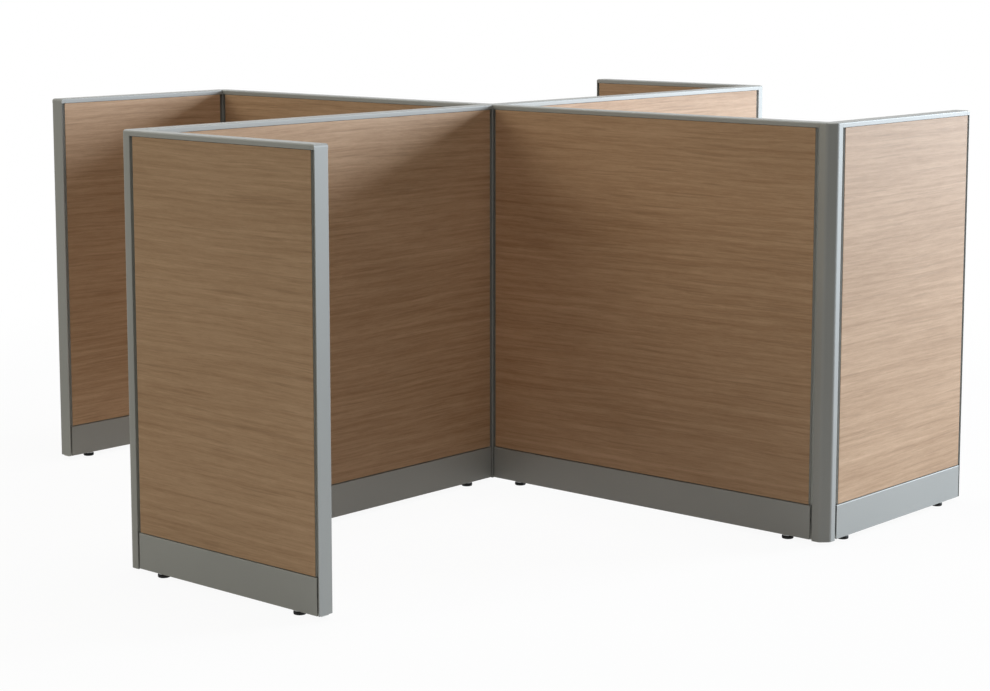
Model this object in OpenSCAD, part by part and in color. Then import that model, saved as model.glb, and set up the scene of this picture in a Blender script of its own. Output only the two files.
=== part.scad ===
// Four-place office partition cluster: four spine panels meet at a centre post, and each spine ends in a
// bevelled corner post that carries a shorter return panel, so the plan is a pinwheel with four open bays.
// Origin on the floor under the centre post. X and Y run along the spines, Z is up. Millimetres.

/* [Plan] */
// Width of a spine panel's frame along X
spine_x = 1200; // [600:10:1800]
// Width of a spine panel's frame along Y
spine_y = 1400; // [600:10:1800]
// Width of a return panel's frame
return_w = 694; // [450:2:1200]

/* [Height] */
// Overall height of the partition
height = 1200; // [900:10:1800]
// Clear height under the skirts and the end trims
skirt_clear = 15; // [10:1:20]
// Clear height under the posts and the frames' uprights
post_clear = 12; // [10:1:18]

/* [Frame] */
// Depth of the frame tubes, between the two tiles
frame_t = 24; // [20:1:32]
// Width of an upright
stile_w = 25; // [23:1:40]
// Height of the top, middle and bottom rails
rail_h = 30; // [24:1:50]
// Wall of the frame tubes
tube_wall = 1.5; // [1:0.1:3]
// Height of the bottom rail's underside above the floor
bottom_rail_z = 94; // [88:1:102]
// Height of the middle rail's centre above half the overall height
middle_rail_rise = 80; // [60:5:90]

/* [Tiles] */
// Thickness of a tile
tile_t = 12; // [9:0.5:16]
// Width of the upright that stays bare beside a tile
reveal = 10; // [6:1:14]
// Radius along the edges of a tile's face
tile_edge_r = 1; // [0.5:0.25:2]
// Gap between a tile's top edge and the top cap
tile_top_gap = 1; // [0.5:0.25:4]

/* [Skirts] */
// Height of a skirt cover
skirt_h = 98.5; // [91:0.5:103]
// Gap between a skirt's top edge and the tile above it
skirt_gap = 2.5; // [2:0.5:6]
// Width of the upright that stays bare beside a skirt
skirt_reveal = 5; // [1:1:14]
// Sheet thickness of a skirt cover
skirt_sheet = 1.5; // [1:0.1:2]
// Radius along a skirt's top edge
skirt_edge_r = 3; // [2:0.5:6]
// Height of the folded hem along a skirt's bottom edge
hem_h = 7; // [5:0.5:12]

/* [Top caps] */
// Height of the top caps
cap_h = 14; // [10:0.5:24]
// Wall of the top caps
cap_wall = 2; // [1.5:0.1:3]
// Radius along the top caps' upper edges
cap_edge_r = 4; // [3:0.5:8]
// Radius of the rounded corner of the end cap at a free end
end_cap_r = 8; // [4:0.5:13.5]
// Gap between a top cap and the caps beside it
cap_gap = 0.5; // [0.2:0.1:1]
// Length that an end cap's spigot reaches down into the upright
end_spigot_h = 15; // [6:1:30]

/* [Posts] */
// Wall of the posts
post_wall = 2.5; // [1.5:0.1:4]
// Length of the bevel across a corner post's outer corner, along each face
corner_cut = 23; // [10:1:30]
// Radius where that bevel meets the post's faces
corner_soft_r = 16; // [11:1:24]
// Small radius along a post's other corners
post_edge_r = 1.5; // [0.5:0.25:3]
// Thickness of the plugs that close the posts underneath
plug_t = 3; // [2:0.5:6]
// Length that a cap's or plug's spigot reaches into a post
spigot_h = 15; // [8:1:40]
// Wall of the spigots
spigot_wall = 2; // [1:0.25:4]

/* [End trims] */
// Thickness of the flat trim down a return panel's free end
trim_t = 2; // [1.5:0.25:4]
// Radius along the trim's long edges
trim_edge_r = 1.5; // [0.5:0.25:1.5]

/* [Joints between posts and panels] */
// Thickness of a joining strip
strip_t = 2; // [1.5:0.25:4]
// Width of a joining strip
strip_w = 20; // [16:1:20]
// Length by which a joining strip stops short of the post at each end
strip_inset = 10; // [4:1:60]
// Height of the lowest bolt above the floor
bolt_low_z = 200; // [160:5:240]
// Height from the highest bolt down from the top
bolt_top_drop = 160; // [120:5:200]
// Number of bolts in a joint
bolt_count = 3; // [2:1:5]
// Diameter of a bolt's shank
bolt_d = 8; // [6:1:8]
// Diameter of a bolt's round head
bolt_head_d = 14; // [12:0.5:16]
// Height of a bolt's head
bolt_head_h = 4.4; // [3:0.2:6]
// Diameter of the driver socket in a bolt's head
socket_d = 5; // [3:0.5:6]
// Depth of the driver socket
socket_h = 2.5; // [1:0.1:2.8]
// Width of a nut across its flats
nut_w = 13; // [12:0.5:14]
// Height of a nut
nut_h = 6.5; // [4:0.5:8]

/* [Foot brackets] */
// Width of the leg of a foot bracket
leg_w = 22; // [18:0.5:24]
// Wall of the leg
leg_wall = 3; // [2:0.25:3.5]
// Height of the leg's underside above the floor
leg_z = 34; // [33:0.5:38]
// Height of the threaded block at the leg's lower end
boss_h = 16; // [10:0.5:20]
// Length of the bracket's plate along the rail
plate_w = 60; // [40:1:90]
// Thickness of the bracket's plate
plate_t = 3; // [2:0.25:4]

/* [Feet] */
// Diameter of a foot's pad
pad_d = 33; // [26:0.5:34]
// Height of the pad
pad_h = 10; // [8:0.5:12]
// Radius along the pad's edges
pad_edge_r = 2; // [0.5:0.25:2.5]
// Diameter of the light collar on the pad
collar_d = 31; // [26:0.5:32]
// Height of the collar
collar_h = 2.5; // [2:0.5:5]
// Width of the adjusting nut on the collar, across its flats
foot_nut_w = 19; // [14:0.5:22]
// Height of the adjusting nut
foot_nut_h = 8; // [6:0.5:8]
// Diameter of a foot's stem
stem_d = 10; // [8:0.5:12]
// Length of the stem above the adjusting nut
stem_h = 51; // [46:1:56]
// Distance from a post to the nearest foot of a spine panel
spine_foot_inset = 96; // [70:1:200]
// Distance from the corner post to the nearest foot of a return panel
return_foot_inset = 78; // [60:1:150]
// Distance from a free end to the nearest foot of a return panel
free_foot_inset = 94; // [60:1:150]

/* [Clearances] */
// Clearance between pieces that are fitted together
fit = 0.3; // [0.2:0.05:0.5]
// Radial running clearance of a stem in its boss
stem_fit = 0.1; // [0.05:0.01:0.1]
// Radial clearance of a bolt in its holes
bolt_fit = 0.25; // [0.1:0.05:0.5]
// Radial clearance between a bolt and its nut
nut_fit = 0.3; // [0.2:0.05:0.4]
// Radial clearance of the driver holes in the uprights
driver_fit = 1; // [0.5:0.1:1.5]

/* [Hidden] */
$fn = 64;
eps = 0.01;
arms = [1, 2, 3, 4];
side_names = ["spine", "return"];
foot_ends = ["near", "far"];

metal = [0.62, 0.63, 0.62];
dark_metal = [0.40, 0.41, 0.40];
oak = [0.66, 0.52, 0.40];
black = [0.06, 0.06, 0.06];
zinc = [0.75, 0.76, 0.77];

panel_t = frame_t + 2 * tile_t;
half_t = panel_t / 2;
post = panel_t;
panel_start = half_t + strip_t;
return_reach = panel_start + return_w + trim_t;
cap_z = height - cap_h;
frame_top = height - cap_wall;
post_bottom = post_clear + plug_t;
tile_z = skirt_clear + skirt_h + skirt_gap;
tile_h = cap_z - tile_top_gap - tile_z;
skirt_top = skirt_clear + skirt_h;
bottom_rail_top = bottom_rail_z + rail_h;
middle_rail_z = height / 2 + middle_rail_rise;
collar_top = pad_h + collar_h;
foot_nut_top = collar_top + foot_nut_h;
stem_top = foot_nut_top + stem_h;
boss_bore = stem_d / 2 + stem_fit;
bolt_hole = bolt_d / 2 + bolt_fit;
bolt_step = (height - bolt_top_drop - bolt_low_z) / (bolt_count - 1);
bolt_zs = [for (i = [0 : bolt_count - 1]) bolt_low_z + i * bolt_step];
bolt_reach = tube_wall + strip_t + post_wall + nut_h;

function bevel_cut(inset) = corner_cut - (2 - sqrt(2)) * inset;
function spine_w(arm) = arm % 2 == 1 ? spine_x : spine_y;
function corner_x(arm) = panel_start + spine_w(arm) + strip_t;
function frame_w(side, arm) = side == "spine" ? spine_w(arm) : return_w;
function foot_near(side) = (side == "spine" ? spine_foot_inset : return_foot_inset) - strip_t;
function foot_far(side, w) = side == "spine"
    ? w + strip_t - spine_foot_inset
    : w + trim_t - free_foot_inset;
function foot_at(side, arm, place) = place == "near"
    ? foot_near(side)
    : foot_far(side, frame_w(side, arm));

// An arm is a spine with its corner post and its return. Arm 1 lies along +X, arm 2 along +Y, and so on.
module on_arm(arm) {
    rotate([0, 0, 90 * (arm - 1)])
        children();
}

// The local frame of a panel: X from the start of its frame, Y across it, Z up from the floor
module on_panel(side, arm) {
    on_arm(arm) {
        if (side == "spine")
            translate([panel_start, 0, 0])
                children();
        else
            translate([corner_x(arm) + half_t, panel_start, 0])
                rotate([0, 0, 90])
                    children();
    }
}

module both_faces() {
    for (s = [0, 1])
        mirror([0, s, 0])
            children();
}

// A square tube's section with its wall
module tube_section(w, h, wall) {
    difference() {
        square([w, h]);
        translate([wall, wall])
            square([w - 2 * wall, h - 2 * wall]);
    }
}

// Extrudes a Y-Z section along X
module along_x(length) {
    rotate([90, 0, 90])
        linear_extrude(length)
            children();
}

// A block on the X-Y plane with its outer face at y = t, rounded along the four edges of that face
module faced_board(w, t, h, r) {
    intersection() {
        along_x(w)
            union() {
                square([t - r, h]);
                translate([0, r])
                    square([t, h - 2 * r]);
                for (z = [r, h - r])
                    translate([t - r, z])
                        circle(r);
            }
        linear_extrude(h)
            union() {
                square([w, t - r]);
                translate([r, 0])
                    square([w - 2 * r, t]);
                for (x = [r, w - r])
                    translate([x, t - r])
                        circle(r);
            }
    }
}

// Frame of a panel: two uprights and three rails, welded at their butt joints
module stile(joined) {
    top = joined ? frame_top : cap_z;
    difference() {
        translate([0, -frame_t / 2, post_clear])
            linear_extrude(top - post_clear)
                tube_section(stile_w, frame_t, tube_wall);
        if (joined)
            for (z = bolt_zs)
                translate([0, 0, z])
                    rotate([0, 90, 0]) {
                        translate([0, 0, -eps])
                            cylinder(h = tube_wall + 2 * eps, r = bolt_hole);
                        translate([0, 0, stile_w - tube_wall - eps])
                            cylinder(h = tube_wall + 2 * eps, r = bolt_head_d / 2 + driver_fit);
                    }
    }
}

module frame_rail(w, z) {
    translate([stile_w + fit, -frame_t / 2, z])
        along_x(w - 2 * (stile_w + fit))
            tube_section(frame_t, rail_h, tube_wall);
}

module frame(side, arm) {
    w = frame_w(side, arm);
    color(metal)
        on_panel(side, arm) {
            stile(true);
            translate([w, 0, 0])
                mirror([1, 0, 0])
                    stile(side == "spine");
            frame_rail(w, bottom_rail_z);
            frame_rail(w, middle_rail_z - rail_h / 2);
            frame_rail(w, frame_top - rail_h);
        }
}

module tiles(side, arm) {
    color(oak)
        on_panel(side, arm)
            both_faces()
                translate([reveal, frame_t / 2, tile_z])
                    faced_board(frame_w(side, arm) - 2 * reveal, tile_t, tile_h, tile_edge_r);
}

// Section of a skirt cover: a sheet with a rounded top edge, a lip that rests against the bottom rail, and
// a folded hem below
module skirt_section() {
    face = half_t - skirt_sheet;
    difference() {
        union() {
            translate([face, skirt_clear])
                square([skirt_sheet, skirt_h - skirt_edge_r]);
            translate([half_t - 2 * skirt_sheet, skirt_clear])
                square([2 * skirt_sheet, hem_h]);
            translate([frame_t / 2, skirt_top - skirt_sheet])
                square([tile_t - skirt_edge_r, skirt_sheet]);
            translate([half_t - skirt_edge_r, skirt_top - skirt_edge_r])
                intersection() {
                    circle(skirt_edge_r);
                    square(skirt_edge_r);
                }
        }
        translate([half_t - skirt_edge_r, skirt_top - skirt_edge_r])
            circle(skirt_edge_r - skirt_sheet);
    }
}

module skirts(side, arm) {
    w = frame_w(side, arm);
    color(metal)
        on_panel(side, arm)
            both_faces()
                translate([skirt_reveal, 0, 0])
                    along_x(w - 2 * skirt_reveal)
                        skirt_section();
}

// Section of a top cap: a channel with rounded upper edges, and two inner legs that grip the frame
module top_cap_section() {
    leg_y = frame_t / 2 + fit;
    difference() {
        top_cap_outline();
        translate([-half_t + cap_wall, -eps])
            square([panel_t - 2 * cap_wall, cap_h - cap_wall - cap_edge_r + eps]);
        translate([-half_t + cap_edge_r, -eps])
            square([panel_t - 2 * cap_edge_r, cap_h - cap_wall + eps]);
        for (y = [-1, 1])
            translate([y * (half_t - cap_edge_r), cap_h - cap_edge_r])
                circle(cap_edge_r - cap_wall);
    }
    for (y = [leg_y, -leg_y - cap_wall])
        translate([y, 0])
            square([cap_wall, cap_h - cap_wall / 2]);
}

module top_cap_outline() {
    translate([-half_t, 0])
        square([panel_t, cap_h - cap_edge_r]);
    translate([-half_t + cap_edge_r, 0])
        square([panel_t - 2 * cap_edge_r, cap_h]);
    for (y = [-1, 1])
        translate([y * (half_t - cap_edge_r), cap_h - cap_edge_r])
            circle(cap_edge_r);
}

// A top cap runs from post cap to post cap, or to the end cap of a return, with a small gap at each end
module top_cap(side, arm) {
    length = side == "spine" ? spine_w(arm) + 2 * strip_t : strip_t + return_w + trim_t - cap_h;
    color(metal)
        on_panel(side, arm)
            translate([cap_gap - strip_t, 0, cap_z])
                along_x(length - 2 * cap_gap)
                    top_cap_section();
}

// Closes a top cap at a free end with a rounded corner, on the upright and the trim, with a spigot in the
// upright
module end_cap(arm) {
    on_panel("return", arm)
        translate([return_w + trim_t - cap_h, 0, cap_z]) {
            intersection() {
                along_x(cap_h)
                    top_cap_outline();
                translate([0, half_t, 0])
                    rotate([90, 0, 0])
                        linear_extrude(panel_t)
                            end_cap_elevation();
            }
            spigot_d = frame_t - 2 * (tube_wall + fit);
            translate([0, -spigot_d / 2, -end_spigot_h])
                cube([cap_h - trim_t - tube_wall - fit, spigot_d, end_spigot_h]);
        }
}

module end_cap_elevation() {
    square([cap_h - end_cap_r, cap_h]);
    square([cap_h, cap_h - end_cap_r]);
    translate([cap_h - end_cap_r, cap_h - end_cap_r])
        circle(end_cap_r);
}

module end_caps() {
    color(metal)
        for (arm = arms)
            end_cap(arm);
}

// Plan section of a corner post, with its outer corner at +X and -Y and the post's centre at the origin
module corner_section(inset) {
    s = post / 2 - inset;
    cut = bevel_cut(inset);
    e = max(post_edge_r - inset, 0.2);
    difference() {
        square(2 * s, center = true);
        polygon([[s - cut - eps, -s - eps], [s + eps, -s - eps], [s + eps, cut - s + eps]]);
        bevel_ends(inset);
        for (p = [[-1, -1], [-1, 1], [1, 1]])
            translate([p[0] * (s - e), p[1] * (s - e)])
                difference() {
                    translate([p[0] > 0 ? 0 : -e - eps, p[1] > 0 ? 0 : -e - eps])
                        square(e + eps);
                    circle(e);
                }
    }
}

// What the round ends of the bevel take away beside it. Each arc starts tangent to its face and meets the
// bevel at 3 degrees.
module bevel_ends(inset) {
    s = post / 2 - inset;
    r = corner_soft_r - inset;
    t = r * (tan(22.5) - 0.002);
    reach = (r + eps) * cos(45);
    for (side = [0, 1])
        mirror([side, side, 0])
            translate([s - bevel_cut(inset), -s])
                difference() {
                    polygon([[-t, r], [-t, -eps], [3 * eps, -3 * eps], [reach - t, r - reach]]);
                    translate([-t, r])
                        circle(r);
                }
}

module square_section(inset) {
    s = post / 2 - inset;
    e = max(post_edge_r - inset, 0.2);
    square([2 * s, 2 * (s - e)], center = true);
    square([2 * (s - e), 2 * s], center = true);
    for (x = [-1, 1], y = [-1, 1])
        translate([x * (s - e), y * (s - e)])
            circle(e);
}

module post_bolt_holes() {
    for (z = bolt_zs)
        translate([post / 2 - post_wall - eps, 0, z])
            rotate([0, 90, 0])
                cylinder(h = post_wall + 2 * eps, r = bolt_hole);
}

module corner_post(arm) {
    color(metal)
        on_arm(arm)
            translate([corner_x(arm) + half_t, 0, 0])
                difference() {
                    translate([0, 0, post_bottom])
                        linear_extrude(cap_z - post_bottom)
                            difference() {
                                corner_section(0);
                                corner_section(post_wall);
                            }
                    for (turn = [90, 180])
                        rotate([0, 0, turn])
                            post_bolt_holes();
                }
}

module centre_post() {
    color(metal)
        difference() {
            translate([0, 0, post_bottom])
                linear_extrude(cap_z - post_bottom)
                    difference() {
                        square_section(0);
                        square_section(post_wall);
                    }
            for (arm = arms)
                on_arm(arm)
                    post_bolt_holes();
        }
}

// A corner post's cap, with a rounded upper edge along its three outer faces
module corner_cap_body() {
    difference() {
        intersection() {
            translate([-half_t, 0, 0])
                along_x(panel_t)
                    outer_edge_section(half_t);
            rotate([0, 0, 90])
                translate([-half_t, 0, 0])
                    along_x(panel_t)
                        outer_edge_section(half_t);
            rotate([0, 0, 45])
                translate([-panel_t, 0, 0])
                    along_x(2 * panel_t)
                        outer_edge_section((panel_t - corner_cut) / sqrt(2));
        }
        translate([0, 0, -eps])
            linear_extrude(cap_h + 2 * eps)
                bevel_ends(0);
    }
}

// Section of a cap with its upper edge rounded at y = -reach and square beyond the other side of the post
module outer_edge_section(reach) {
    translate([-reach, 0])
        square([reach + panel_t, cap_h - cap_edge_r]);
    translate([cap_edge_r - reach, 0])
        square([reach + panel_t - cap_edge_r, cap_h]);
    translate([cap_edge_r - reach, cap_h - cap_edge_r])
        circle(cap_edge_r);
}

module spigot(z) {
    translate([0, 0, z])
        linear_extrude(spigot_h)
            difference() {
                children(0);
                children(1);
            }
}

module corner_post_caps(arm) {
    on_arm(arm)
        translate([corner_x(arm) + half_t, 0, 0]) {
            translate([0, 0, cap_z])
                corner_cap_body();
            spigot(cap_z - spigot_h) {
                corner_section(post_wall + fit);
                corner_section(post_wall + fit + spigot_wall);
            }
            translate([0, 0, post_clear])
                linear_extrude(plug_t)
                    corner_section(0);
            spigot(post_bottom) {
                corner_section(post_wall + fit);
                corner_section(post_wall + fit + spigot_wall);
            }
        }
}

module centre_post_caps() {
    translate([0, 0, cap_z])
        linear_extrude(cap_h)
            square_section(0);
    spigot(cap_z - spigot_h) {
        square_section(post_wall + fit);
        square_section(post_wall + fit + spigot_wall);
    }
    translate([0, 0, post_clear])
        linear_extrude(plug_t)
            square_section(0);
    spigot(post_bottom) {
        square_section(post_wall + fit);
        square_section(post_wall + fit + spigot_wall);
    }
}

module post_caps() {
    color(metal) {
        centre_post_caps();
        for (arm = arms)
            corner_post_caps(arm);
    }
}

module end_trims() {
    color(metal)
        for (arm = arms)
            on_panel("return", arm)
                translate([return_w, 0, skirt_clear])
                    linear_extrude(cap_z - skirt_clear)
                        trim_section();
}

module trim_section() {
    translate([0, -half_t])
        square([trim_t - trim_edge_r, panel_t]);
    translate([0, -half_t + trim_edge_r])
        square([trim_t, panel_t - 2 * trim_edge_r]);
    for (y = [-1, 1])
        translate([trim_t - trim_edge_r, y * (half_t - trim_edge_r)])
            intersection() {
                circle(trim_edge_r);
                translate([0, -trim_edge_r])
                    square([trim_edge_r, 2 * trim_edge_r]);
            }
}

// A square leg welded to a plate under the bottom rail, with a threaded block for the foot's stem
module foot_bracket() {
    pocket = leg_w - 2 * leg_wall;
    translate([-plate_w / 2, -frame_t / 2, bottom_rail_z - plate_t])
        cube([plate_w, frame_t, plate_t]);
    difference() {
        translate([-leg_w / 2, -leg_w / 2, leg_z])
            cube([leg_w, leg_w, bottom_rail_z - plate_t - leg_z]);
        translate([-pocket / 2, -pocket / 2, leg_z + boss_h])
            cube([pocket, pocket, bottom_rail_z - plate_t - leg_z - boss_h]);
        translate([0, 0, leg_z - eps])
            cylinder(h = boss_h + 2 * eps, r = boss_bore);
    }
}

module foot_brackets() {
    color(dark_metal)
        for (side = side_names, arm = arms, place = foot_ends)
            on_panel(side, arm)
                translate([foot_at(side, arm, place), 0, 0])
                    foot_bracket();
}

// Half section of a foot's turned parts: pad, collar and stem
module foot_outline() {
    r = pad_d / 2;
    square([r - pad_edge_r, pad_h]);
    translate([0, pad_edge_r])
        square([r, pad_h - 2 * pad_edge_r]);
    for (z = [pad_edge_r, pad_h - pad_edge_r])
        translate([r - pad_edge_r, z])
            circle(pad_edge_r);
    square([collar_d / 2, collar_top]);
    square([stem_d / 2, stem_top]);
}

module foot(side, arm, place) {
    color(black)
        on_panel(side, arm)
            translate([foot_at(side, arm, place), 0, 0]) {
                rotate_extrude()
                    foot_outline();
                cylinder(h = foot_nut_top, d = foot_nut_w / cos(30), $fn = 6);
            }
}

module joining_strip() {
    translate([-strip_t, 0, 0])
        difference() {
            translate([0, -strip_w / 2, post_bottom + strip_inset])
                cube([strip_t, strip_w, cap_z - post_bottom - 2 * strip_inset]);
            for (z = bolt_zs)
                translate([-eps, 0, z])
                    rotate([0, 90, 0])
                        cylinder(h = strip_t + 2 * eps, r = bolt_hole);
        }
}

// Puts its children at each joint between a post and a panel, with X pointing into the panel's frame
module at_joints() {
    for (arm = arms) {
        on_panel("spine", arm)
            children();
        on_panel("spine", arm)
            translate([spine_w(arm), 0, 0])
                mirror([1, 0, 0])
                    children();
        on_panel("return", arm)
            children();
    }
}

module joining_strips() {
    color(dark_metal)
        at_joints()
            joining_strip();
}

module bolt() {
    difference() {
        union() {
            translate([tube_wall, 0, 0])
                rotate([0, 90, 0])
                    cylinder(h = bolt_head_h, d = bolt_head_d);
            translate([tube_wall + eps, 0, 0])
                rotate([0, -90, 0])
                    cylinder(h = bolt_reach + eps, d = bolt_d);
        }
        translate([tube_wall + bolt_head_h - socket_h, 0, 0])
            rotate([0, 90, 0])
                cylinder(h = socket_h + eps, d = socket_d, $fn = 6);
    }
}

module nut() {
    translate([-strip_t - post_wall, 0, 0])
        rotate([0, -90, 0])
            difference() {
                cylinder(h = nut_h, d = nut_w / cos(30), $fn = 6);
                translate([0, 0, -eps])
                    cylinder(h = nut_h + 2 * eps, r = bolt_d / 2 + nut_fit);
            }
}

module joining_fasteners() {
    color(zinc)
        at_joints()
            for (z = bolt_zs)
                translate([0, 0, z]) {
                    bolt();
                    nut();
                }
}

for (arm = arms) {
    for (side = side_names) {
        frame(side, arm);
        tiles(side, arm);
        skirts(side, arm);
        top_cap(side, arm);
        for (place = foot_ends)
            foot(side, arm, place);
    }
    corner_post(arm);
}
centre_post();
post_caps();
end_caps();
end_trims();
foot_brackets();
joining_strips();
joining_fasteners();
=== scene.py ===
"""Looks and studio for a four-place office partition cluster: oak-faced tiles, grey powder-coated
metalwork, levelling feet, a white floor, soft light and a camera."""

import math

import bmesh
import bpy
from bpy.props import FloatProperty, FloatVectorProperty, IntProperty, PointerProperty
from bpy.types import Operator, Panel, PropertyGroup, World
from mathutils import Matrix, Vector


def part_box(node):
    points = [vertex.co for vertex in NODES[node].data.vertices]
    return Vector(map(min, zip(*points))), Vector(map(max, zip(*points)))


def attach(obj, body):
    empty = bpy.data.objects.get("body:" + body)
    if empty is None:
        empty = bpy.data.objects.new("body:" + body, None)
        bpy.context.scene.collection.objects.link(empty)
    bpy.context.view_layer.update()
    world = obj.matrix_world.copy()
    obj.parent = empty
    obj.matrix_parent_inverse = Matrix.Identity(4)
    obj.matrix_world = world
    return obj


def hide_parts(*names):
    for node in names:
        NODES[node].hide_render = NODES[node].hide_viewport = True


bl_info = {
    "name": "Office Partition Cluster",
    "version": (1, 0, 0),
    "blender": (4, 5, 0),
    "location": "View3D > Sidebar > Partition",
    "description": "Dresses a pinwheel of office partitions and sets up its studio",
    "category": "Object",
}

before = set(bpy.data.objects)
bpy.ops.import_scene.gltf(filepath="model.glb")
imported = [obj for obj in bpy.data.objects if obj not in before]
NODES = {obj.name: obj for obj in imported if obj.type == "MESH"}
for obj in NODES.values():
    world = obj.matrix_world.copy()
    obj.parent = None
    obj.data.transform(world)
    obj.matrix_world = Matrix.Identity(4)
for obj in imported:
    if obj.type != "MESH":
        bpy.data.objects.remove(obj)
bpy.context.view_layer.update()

MM = 0.001
WHITE = (1.0, 1.0, 1.0)

# Nodes with one of these words in their names have the grey coat
COATED = ("_skirts_", "_top_cap_", "_post", "post_caps", "end_caps", "end_trims")

# Metres along and up from one panel's stretch of oak to the next, and the grain's change with depth
NEXT_ALONG = 3.7
NEXT_UP = 1.9
CHANGE_WITH_DEPTH = 60.0

# Depths behind a tile's face, in metres, between which the oak print gives way to the pale edge band,
# whose paleness is painted light for the shaded gaps beside the tiles
PRINT_ENDS = (0.0009, 0.0014)

# Material slots of a levelling foot
NYLON = 0
ZINC = 1

# Heights of a levelling foot's parts above the floor, in millimetres
PAD_TOP = 10.0
COLLAR_TOP = 12.5
NUT_TOP = 20.5
THREAD_TOP = 70.0
STEM_TOP = 71.5

# Outlines of pad and collar, as radius and height in millimetres
PAD = (
    (0.0, 1.0), (10.5, 1.0), (11.5, 0.0), (14.8, 0.0), (16.0, 0.5), (16.5, 1.6), (16.5, 8.1), (16.3, 9.0),
    (15.8, 9.7), (15.0, PAD_TOP), (0.0, PAD_TOP),
)
COLLAR = (
    (0.0, PAD_TOP), (15.1, PAD_TOP), (15.5, 10.4), (15.5, 11.4), (15.2, 11.9), (12.6, COLLAR_TOP),
    (0.0, COLLAR_TOP),
)
COLLAR_SIDES = 48

# The pad's upright band with the grip notches, in millimetres
BAND_LOW = 1.7
BAND_HIGH = 8.0
BAND_RADIUS = 15.8
NOTCH_BORDER = 0.4
NOTCH_DEPTH = 0.5

# The adjusting nut's softened rims and the stem, in millimetres, and how many sides they have
NUT_SIDES = 6
NUT_SOFTENING = 0.7
STEM_RADIUS = 4.3
STEM_TIP_RADIUS = 3.6
STEM_SIDES = 20

# One ridge of the thread, as radius in millimetres and share of the pitch
RIDGE = ((4.35, 0.1), (4.97, 0.42), (4.97, 0.58), (4.35, 0.9))

# Distances from the middle of the floor, in metres, over which its shadow and its bounce change
SHADOW_FADE = (2.2, 4.2)
BOUNCE_FADE = (3.0, 4.0)
FLOOR_HALF_WIDTH = 60.0
SHADED_FLOOR = (0.80, 0.80, 0.80)

# The point that the lamps are aimed at, in metres
LIT_POINT = Vector((0.0, 0.0, 0.6))

# The camera's place in metres, its pitch down and its turn in degrees, its shift, and its reach in metres
CAMERA_PLACE = (4.6422, -5.2791, 1.6337)
CAMERA_PITCH = 7.667
CAMERA_TURN = 41.246
CAMERA_SHIFT = -0.08
CAMERA_REACH = 200.0


# Shader maths

class Field:
    """A socket's value over the surface. Plain arithmetic on it adds Math nodes."""

    def __init__(self, finish, socket):
        self.finish = finish
        self.socket = socket

    def __add__(self, other):
        return self.finish.math("ADD", self, other)

    def __sub__(self, other):
        return self.finish.math("SUBTRACT", self, other)

    def __mul__(self, other):
        return self.finish.math("MULTIPLY", self, other)

    def __rsub__(self, other):
        return self.finish.math("SUBTRACT", other, self)

    __radd__ = __add__
    __rmul__ = __mul__

    def __abs__(self):
        return self.finish.math("ABSOLUTE", self)

    def over(self, other):
        """The larger of two values."""
        return self.finish.math("MAXIMUM", self, other)

    def step(self, low, high):
        """0 below low, 1 above high, and smooth between them."""
        return self.finish.add(
            "ShaderNodeMapRange",
            {"interpolation_type": "SMOOTHSTEP", "clamp": True},
            {"Value": self, "From Min": low, "From Max": high, "To Min": 0.0, "To Max": 1.0},
        )


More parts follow.
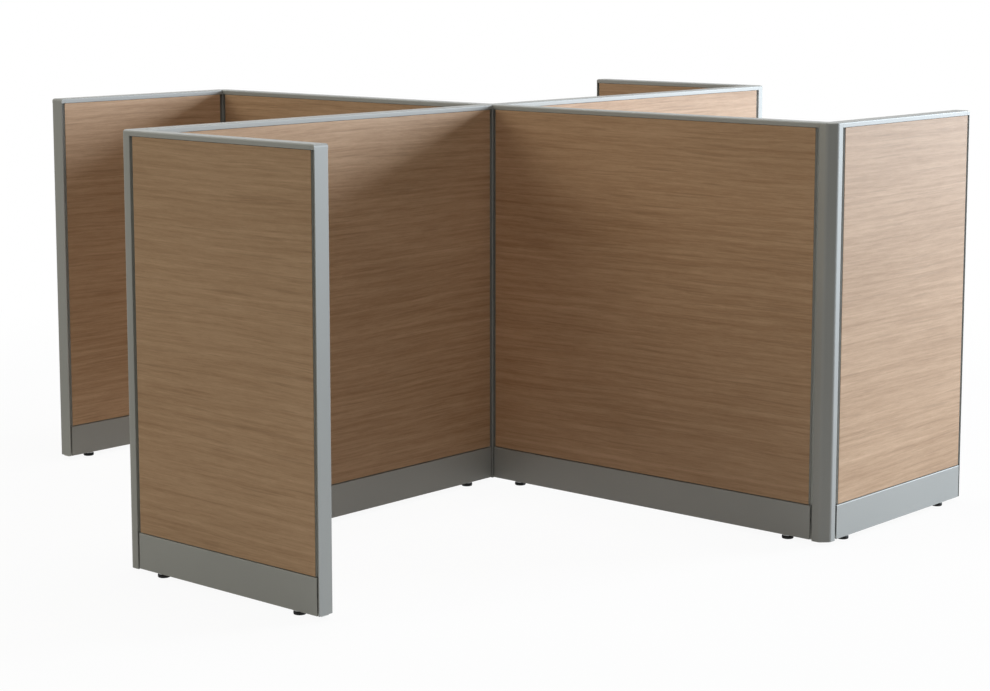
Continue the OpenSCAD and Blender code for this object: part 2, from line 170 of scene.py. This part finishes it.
class Finish:
    """The node tree of a material or of a world, its owner."""

    def __init__(self, owner):
        owner.use_nodes = True
        self.owner = owner
        self.tree = owner.node_tree
        self.tree.nodes.clear()

    def add(self, kind, settings=None, inputs=None, out=0):
        """Adds a node, sets its settings and then its inputs, and returns one of its outputs."""
        node = self.tree.nodes.new(kind)
        for key, value in (settings or {}).items():
            if key == "stops":
                self.set_stops(node.color_ramp, value)
            else:
                setattr(node, key, value)
        for key, value in (inputs or {}).items():
            self.feed(node.inputs[key], value)
        return Field(self, node.outputs[out]) if node.outputs else None

    def feed(self, socket, value):
        """Links a field to a socket, or sets the socket to a plain value."""
        if isinstance(value, Field):
            self.tree.links.new(value.socket, socket)
        else:
            socket.default_value = value

    @staticmethod
    def set_stops(ramp, stops):
        while len(ramp.elements) < len(stops):
            ramp.elements.new(0.5)
        for element, (place, colour) in zip(ramp.elements, stops):
            element.position = place
            element.color = (*colour, 1.0)

    def math(self, operation, a, b=None):
        inputs = {0: a} if b is None else {0: a, 1: b}
        return self.add("ShaderNodeMath", {"operation": operation}, inputs)

    def place(self):
        """The point of the surface, in metres from the object's origin."""
        return self.add("ShaderNodeTexCoord", out="Object")

    def axes(self):
        """The three parts of the point of the surface."""
        first = self.add("ShaderNodeSeparateXYZ", None, {0: self.place()})
        return [Field(self, socket) for socket in first.socket.node.outputs]

    def vector(self, x, y, z):
        return self.add("ShaderNodeCombineXYZ", None, {0: x, 1: y, 2: z})

    def noise(self, where, scale=1.0, detail=2.0, roughness=0.5, dimensions="3D"):
        """Noise over points, or along a single value where dimensions is 1D."""
        return self.add(
            "ShaderNodeTexNoise",
            {"noise_dimensions": dimensions},
            {
                "W" if dimensions == "1D" else "Vector": where,
                "Scale": scale,
                "Detail": detail,
                "Roughness": roughness,
            },
        )

    def blend(self, factor, a, b):
        """Mixes two colours: a where the factor is 0, b where it is 1."""
        a, b = [v if isinstance(v, Field) else (*v, 1.0) for v in (a, b)]
        return self.add("ShaderNodeMix", {"data_type": "RGBA"}, {0: factor, 6: a, 7: b}, out=2)

    def ramp(self, factor, stops):
        return self.add("ShaderNodeValToRGB", {"stops": stops}, {"Fac": factor})

    def bump(self, height, strength, distance):
        inputs = {"Height": height, "Strength": strength, "Distance": distance}
        return self.add("ShaderNodeBump", None, inputs)

    def mix_shaders(self, factor, a, b):
        return self.add("ShaderNodeMixShader", None, {0: factor, 1: a, 2: b})

    def surface(self, inputs):
        """Closes the tree with a Principled surface and returns the material."""
        return self.close(self.add("ShaderNodeBsdfPrincipled", None, inputs))

    def close(self, shade):
        """Joins a shader to the tree's output and returns the owner."""
        kind = "World" if isinstance(self.owner, World) else "Material"
        self.add("ShaderNodeOutput" + kind, None, {"Surface": shade})
        return self.owner


def tinted(colour, factor):
    return tuple(min(1.0, c * factor) for c in colour)


# Finishes

def oak_laminate(node, seed, look):
    """Oak veneer print with level grain for the pair of tiles in a node, and their plain, pale edge
    bands, whose paleness is painted light for the shaded gaps beside them.
    """
    f = Finish(bpy.data.materials.new("Oak laminate " + node.replace("_tiles_", " ")))
    lo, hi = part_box(node)
    x, y, z = f.axes()
    if hi.x - lo.x > hi.y - lo.y:
        length, depth, back, front = x, y, lo.y, hi.y
    else:
        length, depth, back, front = y, x, lo.x, hi.x
    u = length + NEXT_ALONG * seed
    v = z + NEXT_UP * seed
    w = depth * CHANGE_WITH_DEPTH

    def grain(height, along, across, detail=2.0, roughness=0.5, layer=w):
        """Noise with so many spots for each metre along and across the board."""
        return f.noise(f.vector(u * along, height * across, layer), 1.0, detail, roughness)

    level = v + grain(v, 0.6, 2.0) * 0.05 + grain(v, 3.5, 9.0) * 0.007
    rings = f.noise(level * look.ring_density + w, detail=3.0, roughness=0.65, dimensions="1D")
    broad = grain(level, 1.1, 6.0)
    streaks = grain(level, 3.8, 105.0, detail=3.0, roughness=0.6)
    dashes = grain(level, 17.0, 250.0, detail=3.0, roughness=0.6)
    fibres = grain(level, 60.0, 950.0)
    lines = grain(level, 4.5, 150.0, layer=w + 9.0).step(0.58, 0.70)
    pores = grain(level, 60.0, 1500.0, detail=1.0).step(0.60, 0.72)

    tone = 0.20 * rings + 0.14 * broad + 0.31 * streaks + 0.23 * dashes + 0.12 * fibres
    light, dark = tuple(look.oak_light), tuple(look.oak_dark)
    middle = tuple((a + b) / 2 for a, b in zip(light, dark))
    colour = f.ramp(tone, [(0.36, dark), (0.50, middle), (0.64, light)])
    colour = f.blend(lines * 0.35, colour, tinted(dark, 0.80))
    colour = f.blend(pores * 0.20, colour, tinted(dark, 0.55))

    # The narrow edges take a pale grey that is painted light, so the shaded gaps beside the tiles come
    # out lighter
    from_middle = abs(depth - (back + front) / 2)
    edge = abs(from_middle - (front - back) / 2).step(*PRINT_ENDS)
    return f.surface({
        "Base Color": f.blend(edge, colour, tuple(look.edge_band_painted_light)),
        "Roughness": 0.47 + 0.10 * fibres + 0.08 * pores,
        "Specular IOR Level": 0.22,
        "Normal": f.bump(fibres * 0.5 - pores + dashes * 0.4, strength=0.28, distance=0.00025),
    })


def powder_coat(name, colour, roughness):
    """Silver-grey powder coat: a fine orange peel under a satin skin, with slow changes of shade."""
    f = Finish(bpy.data.materials.new(name))
    place = f.place()
    peel = f.noise(place, scale=1100.0, roughness=0.55)
    flecks = f.noise(place, scale=3400.0, detail=1.0)
    slow = f.noise(place, scale=2.3, detail=3.0)
    tone = 0.45 * slow + 0.35 * flecks + 0.20 * peel
    stops = [(0.34, tinted(colour, 0.93)), (0.50, colour), (0.66, tinted(colour, 1.07))]
    return f.surface({
        "Base Color": f.ramp(tone, stops),
        "Roughness": roughness + 0.10 * slow + 0.08 * peel - 0.09,
        "Metallic": 0.22,
        "Specular IOR Level": 0.26,
        "Normal": f.bump(peel, strength=0.22, distance=0.00006),
    })


def moulded_nylon(name, colour):
    """Black nylon with a moulded grain and a little dust."""
    f = Finish(bpy.data.materials.new(name))
    place = f.place()
    grain = f.noise(place, scale=1500.0)
    dust = f.noise(place, scale=90.0, detail=3.0).step(0.45, 0.75)
    return f.surface({
        "Base Color": f.blend(dust * 0.35, colour, tinted(colour, 1.8)),
        "Roughness": 0.50 + 0.22 * grain,
        "Specular IOR Level": 0.25,
        "Normal": f.bump(grain, strength=0.35, distance=0.00012),
    })


def zinc_plate(name, colour):
    """Zinc plating with a cloudy shine."""
    f = Finish(bpy.data.materials.new(name))
    place = f.place()
    cloud = f.noise(place, scale=160.0, detail=3.0)
    grain = f.noise(place, scale=1900.0)
    return f.surface({
        "Base Color": f.ramp(cloud, [(0.30, tinted(colour, 0.82)), (0.70, colour)]),
        "Metallic": 0.85,
        "Roughness": 0.26 + 0.18 * cloud + 0.06 * grain,
        "Normal": f.bump(grain, strength=0.20, distance=0.00005),
    })


def shared_finish(name, make, colour, *settings):
    """The material of this name, which is made when it is first asked for."""
    return bpy.data.materials.get(name) or make(name, tuple(colour), *settings)


def grey_finish(look):
    return shared_finish("Grey powder coat", powder_coat, look.grey, 0.55)


# A paler grey than the metalwork, chosen so that the shaded recesses beside the tiles come out lighter:
# painted light. The brackets and joining strips share it.
def frame_paint_painted_light(look):
    return shared_finish("Frame paint", powder_coat, look.frame_grey_painted_light, 0.60)


def zinc_finish(look):
    return shared_finish("Zinc plate", zinc_plate, look.zinc)


def dress(node, material):
    """Gives a CAD node's object one material."""
    slots = NODES[node].data.materials
    slots.clear()
    slots.append(material)


# Settings

class PartitionLooks(PropertyGroup):
    """Colours and patterns that a user would change"""
    oak_light: FloatVectorProperty(
        name="Oak, light", description="Early wood between the growth rings", subtype="COLOR", size=3,
        min=0.0, max=1.0, default=(0.655, 0.440, 0.283))
    oak_dark: FloatVectorProperty(
        name="Oak, dark", description="Late wood along the growth rings", subtype="COLOR", size=3,
        min=0.0, max=1.0, default=(0.402, 0.239, 0.132))
    # Pale as painted light, so the shaded gaps beside the tiles come out lighter
    edge_band_painted_light: FloatVectorProperty(
        name="Edge band", description="Plain band along a tile's narrow edges", subtype="COLOR", size=3,
        min=0.0, max=1.0, default=(0.62, 0.62, 0.60))
    ring_density: FloatProperty(
        name="Ring density", description="Growth rings for each metre across the grain", min=5.0,
        max=200.0, default=60.0)
    grey: FloatVectorProperty(
        name="Metalwork", description="Powder coat on caps, posts, skirts and trims", subtype="COLOR",
        size=3, min=0.0, max=1.0, default=(0.335, 0.338, 0.324))
    # Paler than the metalwork as painted light in the shaded recesses beside the tiles; the brackets
    # share it
    frame_grey_painted_light: FloatVectorProperty(
        name="Frames", description="Paint on the frames behind the tiles and on their brackets",
        subtype="COLOR", size=3, min=0.0, max=1.0, default=(0.62, 0.63, 0.60))
    nylon: FloatVectorProperty(
        name="Foot pads", description="Moulded pads under the panels", subtype="COLOR", size=3, min=0.0,
        max=1.0, default=(0.010, 0.010, 0.010))
    zinc: FloatVectorProperty(
        name="Zinc plate", description="Stems, collars, bolts and nuts", subtype="COLOR", size=3, min=0.0,
        max=1.0, default=(0.66, 0.67, 0.68))


class PartitionFeet(PropertyGroup):
    """Sizes of a levelling foot that a user would change"""
    nut_width: FloatProperty(
        name="Nut width", description="Width of the adjusting nut across its flats", subtype="DISTANCE",
        unit="LENGTH", min=0.014, max=0.022, default=0.019)
    thread_pitch: FloatProperty(
        name="Thread pitch", description="Distance between two ridges of the stem's thread",
        subtype="DISTANCE", unit="LENGTH", min=0.001, max=0.003, default=0.0015)
    grips: IntProperty(
        name="Grips", description="Grip notches round a pad", min=8, max=48, default=24)


class PartitionStage(PropertyGroup):
    """Light and camera settings that a user would change"""
    key_power: FloatProperty(
        name="Key light", description="Power of the large soft light at the right and a little behind",
        unit="POWER", min=0.0, default=3300.0)
    key_colour: FloatVectorProperty(
        name="Key colour", description="Colour of the key light", subtype="COLOR", size=3, min=0.0,
        max=1.0, default=(0.81, 0.90, 1.0))
    top_power: FloatProperty(
        name="Top light", description="Power of the soft light overhead", unit="POWER", min=0.0,
        default=480.0)
    fill_power: FloatProperty(
        name="Fill light", description="Power of the soft light at the left and a little in front",
        unit="POWER", min=0.0, default=170.0)
    sky: FloatProperty(
        name="Sky", description="Brightness of the surroundings as a light", min=0.0, max=2.0,
        default=0.06)
    sky_colour: FloatVectorProperty(
        name="Sky colour", description="Colour of the surroundings as a light and of the fill light",
        subtype="COLOR", size=3, min=0.0, max=1.0, default=(1.0, 0.965, 0.80))
    bounce: FloatProperty(
        name="Floor bounce", description="Share of the light that the floor throws back near the panels",
        min=0.0, max=1.0, default=0.56)
    far_bounce: FloatProperty(
        name="Far floor bounce", description="Share of the light that the floor throws back further away",
        min=0.0, max=1.0, default=0.28)
    bounce_colour: FloatVectorProperty(
        name="Bounce colour", description="Tint of the light that the floor throws back",
        subtype="COLOR", size=3, min=0.0, max=1.0, default=(1.0, 0.97, 0.90))
    shadow: FloatProperty(
        name="Floor shadow", description="How much of the object's shadow shows on the white floor",
        subtype="FACTOR", min=0.0, max=1.0, default=0.06)
    lens: FloatProperty(
        name="Lens", description="Focal length of the camera", subtype="DISTANCE_CAMERA", unit="CAMERA",
        min=20.0, max=300.0, default=81.53)


SETTINGS = {
    "partition_looks": PartitionLooks,
    "partition_feet": PartitionFeet,
    "partition_stage": PartitionStage,
}


# Pieces

class PARTITION_OT_tiles(Operator):
    """Give each panel's pair of tiles its own stretch of oak laminate"""
    bl_idname = "partition.tiles"
    bl_label = "Oak tiles"

    def execute(self, context):
        tiles = sorted(node for node in NODES if "_tiles_" in node)
        for seed, node in enumerate(tiles, 1):
            dress(node, oak_laminate(node, seed, context.scene.partition_looks))
        return {"FINISHED"}


class PARTITION_OT_metalwork(Operator):
    """Coat the caps, posts, skirts, trims and frames"""
    bl_idname = "partition.metalwork"
    bl_label = "Grey metalwork"

    def execute(self, context):
        look = context.scene.partition_looks
        # Frames take a paler paint that is painted light for their shaded recesses
        for node in NODES:
            if any(word in node for word in COATED):
                dress(node, grey_finish(look))
            elif "_frame_" in node:
                dress(node, frame_paint_painted_light(look))
        return {"FINISHED"}


class PARTITION_OT_hardware(Operator):
    """Finish the foot brackets, the joining strips and their bolts and nuts"""
    bl_idname = "partition.hardware"
    bl_label = "Hardware"

    def execute(self, context):
        look = context.scene.partition_looks
        # The brackets and strips take the frames' paler paint, which is painted light
        for node in ("foot_brackets", "joining_strips"):
            dress(node, frame_paint_painted_light(look))
        dress("joining_fasteners", zinc_finish(look))
        return {"FINISHED"}


def mesh_from(bm, name):
    """Turns a bmesh into a mesh and frees it."""
    mesh = bpy.data.meshes.new(name)
    bm.to_mesh(mesh)
    bm.free()
    return mesh


def spin_outline(bm, outline, sides, slot):
    """Turns an outline of radii and heights in millimetres about the Z axis into a closed shape."""
    verts = [bm.verts.new((r * MM, 0.0, z * MM)) for r, z in outline]
    edges = [bm.edges.new(pair) for pair in zip(verts, verts[1:])]
    before = set(bm.faces)
    bmesh.ops.spin(
        bm, geom=verts + edges, cent=(0, 0, 0), axis=(0, 0, 1), dvec=(0, 0, 0),
        angle=2 * math.pi, steps=sides, use_merge=True, use_duplicate=False)
    bmesh.ops.remove_doubles(bm, verts=bm.verts[:], dist=1e-6)
    for face in bm.faces:
        if face not in before:
            face.material_index = slot
            face.smooth = True


def add_pad(bm, grips):
    """The moulded pad, with a grip notch in every second face of its upright band."""
    spin_outline(bm, PAD, 2 * grips, NYLON)
    band = []
    for face in bm.faces:
        middle = face.calc_center_median()
        if BAND_LOW * MM < middle.z < BAND_HIGH * MM and middle.xy.length > BAND_RADIUS * MM:
            band.append((math.atan2(middle.y, middle.x), face))
    band.sort(key=lambda row: row[0])
    for _, face in band[::2]:
        bmesh.ops.inset_individual(
            bm, faces=[face], thickness=NOTCH_BORDER * MM, depth=0.0, use_even_offset=True)
        bmesh.ops.translate(bm, verts=face.verts[:], vec=-NOTCH_DEPTH * MM * face.normal)


def add_nut(bm, width):
    """The adjusting nut, whose width is taken across its flats."""
    radius = width / 2 / math.cos(math.pi / NUT_SIDES)
    nut = bmesh.ops.create_cone(
        bm, cap_ends=True, segments=NUT_SIDES, radius1=radius, radius2=radius,
        depth=(NUT_TOP - COLLAR_TOP) * MM,
        matrix=Matrix.Translation((0, 0, (COLLAR_TOP + NUT_TOP) / 2 * MM)))
    faces = {face for vert in nut["verts"] for face in vert.link_faces}
    for face in faces:
        face.material_index = ZINC
    rims = {edge for face in faces if abs(face.normal.z) > 0.9 for edge in face.edges}
    bmesh.ops.bevel(
        bm, geom=list(rims), offset=NUT_SOFTENING * MM, offset_type="OFFSET", affect="EDGES",
        segments=2, profile=0.5, material=-1)


def add_stem(bm, pitch):
    """The stem, with one ridge for each pitch of its thread."""
    outline = [(0.0, NUT_TOP - 0.1), (STEM_RADIUS, NUT_TOP - 0.1)]
    for turn in range(int((THREAD_TOP - NUT_TOP) / pitch)):
        z = NUT_TOP + turn * pitch
        outline += [(radius, z + share * pitch) for radius, share in RIDGE]
    outline += [(STEM_RADIUS, THREAD_TOP + 0.4), (STEM_TIP_RADIUS, STEM_TOP - 0.1), (0.0, STEM_TOP)]
    spin_outline(bm, outline, STEM_SIDES, ZINC)


def foot_mesh(settings):
    """A levelling foot that stands at the origin."""
    bm = bmesh.new()
    add_pad(bm, settings.grips)
    spin_outline(bm, COLLAR, COLLAR_SIDES, ZINC)
    add_nut(bm, settings.nut_width)
    add_stem(bm, settings.thread_pitch / MM)
    bmesh.ops.recalc_face_normals(bm, faces=bm.faces[:])
    return mesh_from(bm, "levelling foot")


class PARTITION_OT_feet(Operator):
    """Make a levelling foot with its pad, collar, nut and thread in each foot's place"""
    bl_idname = "partition.feet"
    bl_label = "Levelling feet"

    def execute(self, context):
        look = context.scene.partition_looks
        master = foot_mesh(context.scene.partition_feet)
        master.materials.append(moulded_nylon("Moulded nylon", tuple(look.nylon)))
        master.materials.append(zinc_finish(look))
        for node in sorted(n for n in NODES if "_foot_" in n):
            lo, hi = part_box(node)
            mesh = master.copy()
            mesh.name = node + "_turned"
            mesh.transform(Matrix.Translation(((lo.x + hi.x) / 2, (lo.y + hi.y) / 2, lo.z)))
            piece = bpy.data.objects.new(node + "_turned", mesh)
            context.scene.collection.objects.link(piece)
            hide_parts(node)
            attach(piece, node)
        bpy.data.meshes.remove(master)
        return {"FINISHED"}


# Studio

def seen_mask(f):
    """1 for the rays that show a surface as background: seen, mirrored or through glass."""
    path = "ShaderNodeLightPath"
    camera = f.add(path, out="Is Camera Ray")
    glossy = f.add(path, out="Is Glossy Ray")
    through = f.add(path, out="Is Transmission Ray")
    return camera.over(glossy).over(through)


def floor_material(settings):
    """White where it is seen, with a faint shadow of the object, and darker as a source of bounce."""
    f = Finish(bpy.data.materials.new("White floor"))
    x, y, _ = f.axes()
    away = f.math("SQRT", x * x + y * y)
    shadow = (1.0 - away.step(*SHADOW_FADE)) * settings.shadow
    white = f.add("ShaderNodeEmission", None, {"Color": (*WHITE, 1.0), "Strength": 1.0})
    shaded = f.add("ShaderNodeBsdfDiffuse", None, {"Color": (*SHADED_FLOOR, 1.0)})
    near = tinted(settings.bounce_colour, settings.bounce)
    far = tinted(settings.bounce_colour, settings.far_bounce)
    bounce = f.blend(away.step(*BOUNCE_FADE), near, far)
    dull = f.add("ShaderNodeBsdfDiffuse", None, {"Color": bounce})
    return f.close(f.mix_shaders(seen_mask(f), dull, f.mix_shaders(shadow, white, shaded)))


def lay_floor(scene, settings):
    bm = bmesh.new()
    bmesh.ops.create_grid(bm, x_segments=1, y_segments=1, size=FLOOR_HALF_WIDTH)
    mesh = mesh_from(bm, "floor")
    mesh.materials.append(floor_material(settings))
    floor = bpy.data.objects.new("floor", mesh)
    scene.collection.objects.link(floor)


def light_world(scene, settings):
    """Surroundings that are white where they are seen, and a weak tinted sky as a light."""
    scene.world = bpy.data.worlds.new("Studio surroundings")
    f = Finish(scene.world)
    background = "ShaderNodeBackground"
    sky = f.add(background, None, {"Color": (*settings.sky_colour, 1.0), "Strength": settings.sky})
    white = f.add(background, None, {"Color": (*WHITE, 1.0), "Strength": 1.0})
    f.close(f.mix_shaders(seen_mask(f), sky, white))


def soft_light(scene, name, turn, rise, away, size, power, colour=WHITE):
    """A square lamp aimed at the middle of the cluster: turn and rise are its direction in degrees."""
    data = bpy.data.lights.new(name, "AREA")
    data.shape = "SQUARE"
    data.size = size
    data.energy = power
    data.color = colour
    lamp = bpy.data.objects.new(name, data)
    turn, rise = math.radians(turn), math.radians(rise)
    out = Vector((math.cos(rise) * math.cos(turn), math.cos(rise) * math.sin(turn), math.sin(rise)))
    lamp.location = away * out + LIT_POINT
    lamp.rotation_euler = (-out).to_track_quat("-Z", "Y").to_euler()
    scene.collection.objects.link(lamp)


def place_camera(scene, lens):
    data = bpy.data.cameras.new("Camera")
    data.lens = lens
    data.shift_y = CAMERA_SHIFT
    data.clip_end = CAMERA_REACH
    camera = bpy.data.objects.new("Camera", data)
    camera.location = CAMERA_PLACE
    camera.rotation_euler = (math.radians(90.0 - CAMERA_PITCH), 0.0, math.radians(CAMERA_TURN))
    scene.collection.objects.link(camera)
    scene.camera = camera


class PARTITION_OT_stage(Operator):
    """Set up the white floor, the surroundings, the soft light and the camera"""
    bl_idname = "partition.stage"
    bl_label = "Studio"

    def execute(self, context):
        scene = context.scene
        settings = scene.partition_stage
        scene.view_settings.view_transform = "Standard"
        lay_floor(scene, settings)
        light_world(scene, settings)
        soft_light(
            scene, "Key light", turn=60.0, rise=11.0, away=14.0, size=5.3,
            power=settings.key_power, colour=settings.key_colour)
        soft_light(
            scene, "Top light", turn=0.0, rise=88.0, away=9.0, size=4.0,
            power=settings.top_power)
        soft_light(
            scene, "Fill light", turn=-120.0, rise=25.0, away=9.0, size=4.0,
            power=settings.fill_power, colour=settings.sky_colour)
        place_camera(scene, settings.lens)
        return {"FINISHED"}


class PARTITION_PT_panel(Panel):
    """Lists the pieces and their settings"""
    bl_idname = "PARTITION_PT_panel"
    bl_label = "Office Partition Cluster"
    bl_space_type = "VIEW_3D"
    bl_region_type = "UI"
    bl_category = "Partition"

    def draw(self, context):
        for name in SETTINGS:
            settings = getattr(context.scene, name)
            box = self.layout.box()
            for key in settings.__annotations__:
                box.prop(settings, key)
        for step in STEPS:
            self.layout.operator(step.bl_idname)


STEPS = (
    PARTITION_OT_stage,
    PARTITION_OT_tiles,
    PARTITION_OT_metalwork,
    PARTITION_OT_hardware,
    PARTITION_OT_feet,
)
CLASSES = (*SETTINGS.values(), *STEPS, PARTITION_PT_panel)


def register():
    for item in CLASSES:
        bpy.utils.register_class(item)
    for name, group in SETTINGS.items():
        setattr(bpy.types.Scene, name, PointerProperty(type=group))


def unregister():
    for name in reversed(SETTINGS):
        delattr(bpy.types.Scene, name)
    for item in reversed(CLASSES):
        bpy.utils.unregister_class(item)


def main():
    register()
    bpy.ops.partition.stage()
    bpy.ops.partition.tiles()
    bpy.ops.partition.metalwork()
    bpy.ops.partition.hardware()
    bpy.ops.partition.feet()
    bpy.context.view_layer.update()


if __name__ == "__main__":
    main()
